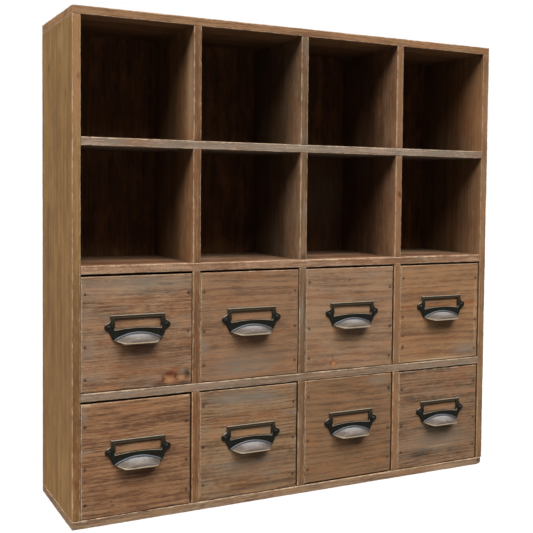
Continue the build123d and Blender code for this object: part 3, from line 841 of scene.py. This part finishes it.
# The cup's outer and inner surface: half width, depth and rise of the arch.
CUP_OUTSIDE = (28.0, 16.5, 7.6)
CUP_INSIDE = (25.8, 15.0, 6.1)
SKIRT = 2.5


def arch(half, rise, x):
    """Height at x of a round arch of that half width and rise, above its springing line."""
    radius = (half**2 + rise**2) / (2 * rise)
    return np.sqrt(radius**2 - x**2) - (radius - rise)


def along(path, count):
    """Points spaced evenly along a path of straight runs, without its last point."""
    path = np.array(path, float)
    reached = np.r_[0, np.cumsum(np.hypot(*np.diff(path, axis=0).T))]
    wanted = np.linspace(0, reached[-1], count, endpoint=False)
    return np.stack([np.interp(wanted, reached, path[:, k]) for k in (0, 1)], 1)


def arc(centre, radius, start, end):
    """Points along an arc, between two angles in radians."""
    t = np.linspace(start, end, 24)
    return [(centre[0] + radius * np.cos(a), centre[1] + radius * np.sin(a)) for a in t]


def gap_to(loop, x, z):
    """Distance from each point to the nearest run of a closed loop."""
    start, run = loop, np.roll(loop, -1, 0) - loop
    spot = np.stack([x, z], -1)[..., None, :] - start
    share = np.clip((spot * run).sum(-1) / (run**2).sum(-1), 0, 1)
    return np.linalg.norm(spot - share[..., None] * run, axis=-1).min(-1)


def casting_plate():
    """The plate between its outline and its window, as rows of points from loop to loop.

    Its thickness is two millimetres, rounded off by a quarter circle towards the outline,
    plus a half-round bead along the window, a low ridge just inside the outline and a raised
    ring round each screw. Returns the points, the faces, where rubbing has bared it and a
    highlight is painted on its upward edges, and where painted light makes it lighter."""
    tilt_x = PLATE_HALF + EAR_COVE - EAR_X
    tilt_z = np.sqrt((EAR_COVE + EAR_RADIUS) ** 2 - tilt_x**2)
    tilt = np.arctan2(tilt_z, tilt_x)
    side = [(PLATE_HALF, 0)]
    side += arc((PLATE_HALF + EAR_COVE, EAR_Z + tilt_z), EAR_COVE, np.pi, np.pi + tilt)
    side += arc((EAR_X, EAR_Z), EAR_RADIUS, tilt, -np.pi / 2)
    side += [(TIP_X, CUP_LINE + 1)]
    other = [(-x, z) for x, z in reversed(side)]
    x = np.linspace(TIP_X, -TIP_X, 45)
    chin = np.stack([x, CUP_LINE + (x / TIP_X) ** 2], 1)
    outer = np.concatenate([along([other[-1], side[0]], 44), along(side, 56), chin[:-1], along(other, 56)])
    x = np.linspace(WINDOW_HALF, -WINDOW_HALF, 45)
    sill = np.stack([x, WINDOW_LOW + arch(WINDOW_HALF, SILL_RISE, x)], 1)
    foot, sill_end, head, start = rectangle(-WINDOW_HALF, WINDOW_HALF, WINDOW_LOW, WINDOW_TOP)
    inner = [along([start, head], 44), along([head, sill_end], 56), sill[:-1], along([foot, start], 56)]
    inner = np.concatenate(inner)
    span = np.hypot(*(outer - inner).T)
    first = np.array([0.0, 0.1, 0.25, 0.45, 0.65, 0.85, 1.05, 1.2, 1.3, 1.6])
    last = np.array([1.7, 1.3, 1.0, 0.75, 0.5, 0.3, 0.15, 0.05, 0.0])
    between = np.linspace(0, 1, 16)[1:-1, None]
    shares = [first[:, None] / span, (1.6 + (span - 3.3) * between) / span, 1 - last[:, None] / span]
    share = np.concatenate(shares)[..., None]
    flat = inner + (outer - inner) * share
    x, z = flat[..., 0], flat[..., 1]
    inside, edge = gap_to(inner, x, z), gap_to(outer, x, z)
    ring = np.hypot(np.abs(x) - EAR_X, z - EAR_Z)
    bead = np.sqrt(np.clip(1 - ((inside - BEAD_HALF) / BEAD_HALF) ** 2, 0, 1))
    short = np.clip(EDGE_ROUND - edge, 0, EDGE_ROUND)
    height = PLATE_THICK - EDGE_ROUND + np.sqrt(EDGE_ROUND**2 - short**2) + 0.7 * bead
    height += 0.25 * np.exp(-(((edge - 0.8) / 0.4) ** 2)) * (inside > 2 * BEAD_HALF)
    height += 0.45 * np.exp(-(((ring - SCREW_RING) / 0.45) ** 2))
    height -= 0.3 * np.clip((3.4 - ring) / 0.4, 0, 1)
    # The rubbed metal along the outline is partly wear and partly painted highlight: the edges that face
    # up, where the lamps above catch them, get most of it.
    run = np.roll(outer, -1, 0) - np.roll(outer, 1, 0)
    upward = np.clip(run[:, 0] / np.hypot(*run.T), 0, 1)
    rubbed = np.exp(-((edge / 1.0) ** 2)) * (0.12 + 0.88 * upward)
    sill_share = np.clip((-14.5 - z) / 1.5, 0, 1)
    rubbed = np.maximum(rubbed, bead * (0.25 + 0.65 * sill_share))
    rubbed = np.maximum(rubbed, 0.35 * np.exp(-(((ring - SCREW_RING) / 0.5) ** 2)))
    front = np.stack([x, -height, z], -1)
    back = front[[-1, 0]]
    back[..., 1] = 0
    rows = np.concatenate([front, back])
    index = np.arange(rows.shape[0] * rows.shape[1]).reshape(rows.shape[:2])
    rubbed = np.r_[rubbed.ravel(), np.zeros(2 * len(span))]
    # Painted light: from the window up to its top rail the plate is mixed towards its lighter brown spot
    # tone, as if lit from above.
    painted_shading = np.clip((rows[..., 2].ravel() + 14) / 12, 0, 1)
    return rows.reshape(-1, 3), ribbon(np.r_[index, index[:1]]), rubbed, painted_shading


def collar_bead():
    """The half-round moulding over the cup, carried along the arch halfway between the cup's
    own and the collar's: an ellipse 2.9 millimetres wide that narrows at both tips."""
    a = np.sin(np.linspace(-np.pi / 2, np.pi / 2, 61))[:, None]
    half, rise = 29.1, 8.8
    x = half * a
    z = arch(half, rise, x) + CUP_LINE + a**4
    radius = (half**2 + rise**2) / (2 * rise)
    lean, stand = x / radius, np.sqrt(1 - (x / radius) ** 2)
    t = np.linspace(0, 2 * np.pi, 16, endpoint=False)[None, :]
    width = 1.45 * np.clip((1 - np.abs(a)) * 9, 0.25, 1) ** 0.6
    out = np.cos(t) * width
    rows = np.stack([x + lean * out, -PLATE_THICK - 1.1 * np.sin(t) + 0 * a, z + stand * out], -1)
    points = rows.reshape(-1, 3)
    return points, tube(rows), np.full(len(points), 0.05), np.zeros(len(points))


def cup_shell():
    """The hollow cup, as rings that run over its outside, round its lip and back inside.

    With u from -1 to 1 across and s from 0 at the plate to 1 at the mouth, x = s h u,
    y = -d sin(pi s / 2) times the plan, and z is the round arch of half width h at s h, raised
    by s u^4 towards the tips, so that the dome turns down steeply at its front. The plan is
    1 - |u|^5 at the plate. At the mouth it is r / (1 + r^8)^(1/8) with r = (1 - |u|) / 0.27,
    which is a straight front edge with a slanted corner at each side, and in between it passes
    from the one to the other by s^3. Below the mouth a skirt drops, most at the middle, and the
    lip is a half circle. Painted shade darkens the dome over the first rings towards its mouth, the
    lip is rubbed, and a painted highlight lies on the upper middle of the dome."""
    u = np.sin(np.linspace(-np.pi / 2, np.pi / 2, 65))
    reach = (1 - np.abs(u)) / 0.27
    mouth = reach / (1 + reach**8) ** 0.125

    def level(half, deep, rise, s, drop):
        plan = (1 - s**3) * (1 - np.abs(u) ** 5) + s**3 * mouth
        x, y = s * half * u, -np.sin(np.pi * s / 2) * deep * plan
        top = CUP_LINE + arch(half, rise, s * half) + s * u**4
        return np.stack([x, y, top + drop * SKIRT * y / deep], 1)

    levels = [(s, 0) for s in np.sin(np.linspace(0.07, np.pi / 2, 20))] + [(1, 0.35), (1, 0.7)]
    outside, within = [[level(*size, *place) for place in levels] for size in (CUP_OUTSIDE, CUP_INSIDE)]
    middle, half = (outside[-1] + within[-1]) / 2, (outside[-1] - within[-1]) / 2
    down = np.array([0, 0, -0.75]) * np.linalg.norm(half, axis=1, keepdims=True)
    lip = [middle + half * np.cos(t) + down * np.sin(t) for t in np.radians(np.arange(0, 181, 30))]
    rows = np.array(outside[:-1] + lip + within[-2::-1])
    rubbed = np.r_[np.zeros(18), 0.2, 0.45, 0.75, 1, 1, 1, 0.8, 0.5, 0.2, np.zeros(len(rows) - 27)]
    ring = np.arange(len(rows))[:, None]
    # Painted highlight: a cream sheen on the upper middle of the dome, carried in the worn attribute.
    crown_highlight = 0.37 * np.exp(-(((u + 0.15) / 0.55) ** 2) - ((ring - 9) / 7) ** 2)
    rubbed = np.maximum(rubbed[:, None], crown_highlight)
    # Painted shade: from the fourth ring on, the dome is mixed towards its darker spot tone, so that it
    # darkens towards its mouth where it turns to face forward.
    painted_shading = np.clip((ring - 3) / 8, 0, 1) + 0 * u
    across = rows.transpose(1, 0, 2)
    return across.reshape(-1, 3), tube(across), rubbed.T.ravel(), painted_shading.T.ravel()


shapes = [casting_plate(), collar_bead(), cup_shell()]
casting_points, casting_faces = joined([shape[:2] for shape in shapes])
rubbed, painted_shading = [np.concatenate([shape[k] for shape in shapes]) for k in (2, 3)]
casting_wear_and_shading = {"worn": rubbed, "painted_shading": painted_shading}
casting_coats = np.repeat([0, 1, 2], [len(shape[1]) for shape in shapes])
# The plate, the collar and the cup: tone, spot tone with painted shading, metallic, roughness,
# grain, bared metal with painted highlight, shine.
coats = {
    "blackened_cast_alloy": ("#121410", "#31291c", 0.0, 0.65, 0.6, "#85796a", 0.1),
    "rubbed_blue_grey_collar": ("#525458", "#43454a", 0.4, 0.5, 0.5, "#8d8474", 0.5),
    "rubbed_pewter_cup": ("#8d8a89", "#5b5149", 0.1, 0.55, 0.5, "#b3a084", 0.25),
}
finish = [aged_metal(name, *coat) for name, coat in coats.items()]
# Where a pull's origin sits: right of the front's middle and below its top.
SEAT_RIGHT = 1.0
SEAT_DROP = 46.5
# Each pull was screwed on by eye: how far its seat strays to the right and up.
strays = {
    (3, 1): (-0.6, -0.3),
    (3, 2): (0.7, 0.3),
    (3, 3): (1.2, 0.0),
    (3, 4): (0.4, 2.1),
    (4, 1): (0.3, 0.3),
    (4, 2): (1.0, 0.8),
    (4, 3): (1.1, 2.3),
    (4, 4): (1.3, 2.4),
}
seats = {}
for place, drawer in drawers.items():
    low, high = corners(drawer + "_front")
    right, up = strays[place]
    middle = (low[0] + high[0]) / 2 + SEAT_RIGHT
    seats[place] = np.array([middle + right, FRONT, high[2] - SEAT_DROP + up])
    node = drawer + "_pull"
    name = drawer + "_cup_pull"
    points = casting_points + seats[place]
    piece(name, points, casting_faces, finish, drawer, [node], casting_wear_and_shading, casting_coats)

# Pull screws: two small round-headed steel screws through the ears of each pull, darkened,
# with slots that ended at any angle.
HEAD_RADIUS = 2.6
HEAD_SUNK = 0.3
dark_steel = aged_metal("darkened_steel", "#1d1c1a", "#332f2a", 0.3, 0.5, 0.4, "#6d6a64", 0.3)


def slotted_screw(point, turn):
    """A round-headed screw: a square grid drawn out to a disc by x = u sqrt(1 - v^2 / 2) and
    the same for y, raised as a dome and cut by a slot, over a shank that ends in a point."""
    half = np.array([0.13, 0.17, 0.3, 0.5, 0.72, 0.9, 1.0])
    lines = np.r_[-half[::-1], 0, half]
    u, v = np.meshgrid(lines, lines, indexing="ij")
    x, z = u * np.sqrt(1 - v**2 / 2), v * np.sqrt(1 - u**2 / 2)
    radius = np.hypot(x, z)
    height = 1.5 * np.sqrt(1.02 - radius**2) + 0.05
    height -= np.where(np.abs(u) < 0.15, np.minimum(0.75, height), 0)
    faces, rim = sheet(x.shape)
    head = np.stack([HEAD_RADIUS * x, -height, HEAD_RADIUS * z], -1).reshape(-1, 3)
    levels = ((1, 0.3), (0.42, 0.5), (0.42, 7), (0.08, 9))
    shank = [head[rim] * (scale, 0, scale) + (0, depth, 0) for scale, depth in levels]
    loops = np.r_[rim, x.size + np.arange(len(levels) * len(rim))].reshape(-1, len(rim))
    faces += ribbon(loops) + [loops[-1].tolist()]
    c, s = np.cos(turn), np.sin(turn)
    turned = np.array([[c, 0, s], [0, 1, 0], [-s, 0, c]])
    return np.concatenate([head, *shank]) @ turned + point, faces


turns = iter(np.random.default_rng(9).uniform(0, np.pi, 16))
for place, drawer in drawers.items():
    ears = [seats[place] + (side * EAR_X, HEAD_SUNK - PLATE_THICK, EAR_Z) for side in (-1, 1)]
    points, faces = joined([slotted_screw(ear, next(turns)) for ear in ears])
    node = drawer + "_fasteners"
    piece(drawer + "_pull_screws", points, faces, [dark_steel], drawer, [node])

# Studio: a plain pale floor, a white surround, a wide soft lamp above the front, drawn as three
# side by side, another at the left and a weak one behind. The floor glows towards the camera
# alone, so that it is pale without lighting the cups, and the camera stands to the left.
paint, floor_tree = blank("white_studio_floor")
seen = add(floor_tree, "LightPath", {})
lit = add(floor_tree, "Math", {0: seen, 1: 0.86}, operation="MULTIPLY")
settings = {"Base Color": linear("#5a5958"), "Roughness": 0.9, "Emission Color": (1.0, 1.0, 1.0, 1.0)}
floor_coat = add(floor_tree, "BsdfPrincipled", {**settings, "Emission Strength": lit})
add(floor_tree, "OutputMaterial", {"Surface": floor_coat})
floor_mesh = bpy.data.meshes.new("studio_floor")
floor_mesh.from_pydata([(-30, -30, 0), (30, -30, 0), (30, 30, 0), (-30, 30, 0)], [], [(0, 1, 2, 3)])
floor_mesh.materials.append(paint)
placed("studio_floor", floor_mesh)

surround = bpy.data.worlds.new("white_surround")
surround.use_nodes = True
sky = surround.node_tree
sky.nodes.clear()
seen = add(sky, "LightPath", {})
strength = add(sky, "MapRange", {0: seen, 3: 0.07, 4: 1.0})
glow = add(sky, "Background", {"Color": (1.0, 1.0, 1.0, 1.0), "Strength": strength})
add(sky, "OutputWorld", {"Surface": glow})
bpy.context.scene.world = surround


def soft_lamp(name, azimuth, elevation, width, strength):
    """A far lamp of some apparent width, all in degrees, left of the front and above it."""
    turn, rise = np.radians((azimuth, elevation))
    toward = Vector((-np.sin(turn) * np.cos(rise), -np.cos(turn) * np.cos(rise), np.sin(rise)))
    lamp = bpy.data.lights.new(name, "SUN")
    lamp.angle = np.radians(width)
    lamp.energy = strength
    stand = placed(name, lamp)
    stand.location = toward * 3
    stand.rotation_mode = "QUATERNION"
    stand.rotation_quaternion = toward.to_track_quat("Z", "Y")


for part, azimuth, strength in (("left", 30, 1.4), ("middle", -2, 1.7), ("right", -30, 1.9)):
    soft_lamp("overhead_softbox_" + part, azimuth, 52, 32, strength)
soft_lamp("side_softbox", 81, 26, 30, 3.1)
soft_lamp("rear_softbox", 215, 35, 34, 0.6)

view = bpy.data.cameras.new("photograph_view")
view.lens = 61.5
view.sensor_width = 36.0
view.shift_x = -0.0707
view.shift_y = -0.0692
view.clip_start = 0.05
camera = placed("photograph_view", view)
right = Vector((0.88286, -0.46950, 0.01121))
back = Vector((-0.46952, -0.88186, 0.04318))
turned = Matrix((right, back.cross(right), back)).transposed().to_4x4()
camera.matrix_world = Matrix.Translation((-0.55463, -1.12205, 0.39829)) @ turned
bpy.context.scene.camera = camera
bpy.context.scene.view_settings.view_transform = "Standard"
